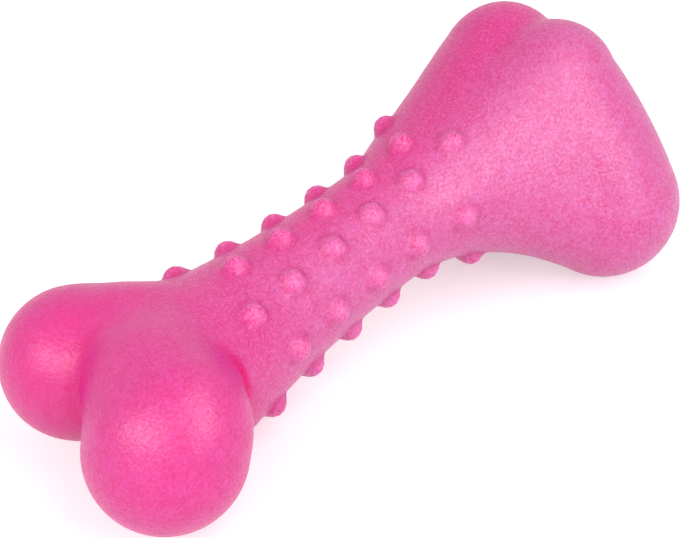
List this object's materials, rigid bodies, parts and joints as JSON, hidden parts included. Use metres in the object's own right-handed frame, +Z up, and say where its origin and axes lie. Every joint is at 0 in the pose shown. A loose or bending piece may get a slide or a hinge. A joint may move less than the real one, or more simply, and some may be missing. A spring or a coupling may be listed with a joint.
{
  "type": "bone-shaped dog toy",
  "caption": "Soft foam-rubber dog toy in the shape of a bone, with rows of round nubs on its shaft, knobs and grooved condyles at its ends, and a squeaker inside.",
  "frame": {"origin": "on the floor, under the middle of the bone's box, with the bone lying on its heels and its belly", "axes": "+X along the bone towards the condyles and the squeaker's mouth, +Y to the left knob, +Z up out of the groove between the condyles"},
  "size_m": [0.17, 0.08, 0.0607],
  "materials": {
    "pink_foam": "satin moulded foam rubber with a fine pearly speckle",
    "milky_plastic": "thin blow-moulded plastic",
    "white_plastic": "moulded, satin",
    "clear_film": "thin springy film"
  },
  "bodies": {
    "bone": {"left_half": "pink_foam", "right_half": "pink_foam", "squeaker_bulb": "milky_plastic", "squeaker_cup": "white_plastic", "vent_disc": "white_plastic", "reed_plate": "white_plastic", "reed_seat": "white_plastic", "reed_clamp": "white_plastic"},
    "reed": {"reed": "clear_film"}
  },
  "joints": [
    {"name": "reed_flutter", "type": "hinge", "parent": "bone", "child": "reed", "pos_m": [0.06609, 0, 0.03456], "axis": [0, -1, 0], "range_deg": [0, 4], "stiffness_Nm_per_rad": 0.00003}
  ]
}
